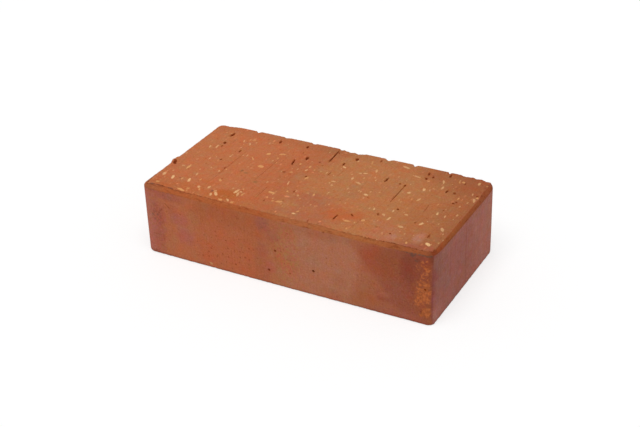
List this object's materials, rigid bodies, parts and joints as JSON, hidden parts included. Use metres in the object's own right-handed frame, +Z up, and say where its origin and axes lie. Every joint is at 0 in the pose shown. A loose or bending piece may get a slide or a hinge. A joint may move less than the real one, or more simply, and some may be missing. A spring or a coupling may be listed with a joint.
{
  "type": "solid clay brick",
  "caption": "Solid extruded clay brick with rounded upright edges, rolled upper edges and wire-cut beds, for masonry walls and paving.",
  "frame": {"origin": "centre of the bottom bed, on the surface that the brick lies on", "axes": "+X along the length, +Y from the front stretcher face to the back one, +Z up through the beds"},
  "size_m": [0.25, 0.12, 0.06],
  "materials": {
    "fired_clay": "fired, unglazed, matte"
  },
  "bodies": {
    "root": {"brick": "fired_clay"}
  },
  "joints": []
}
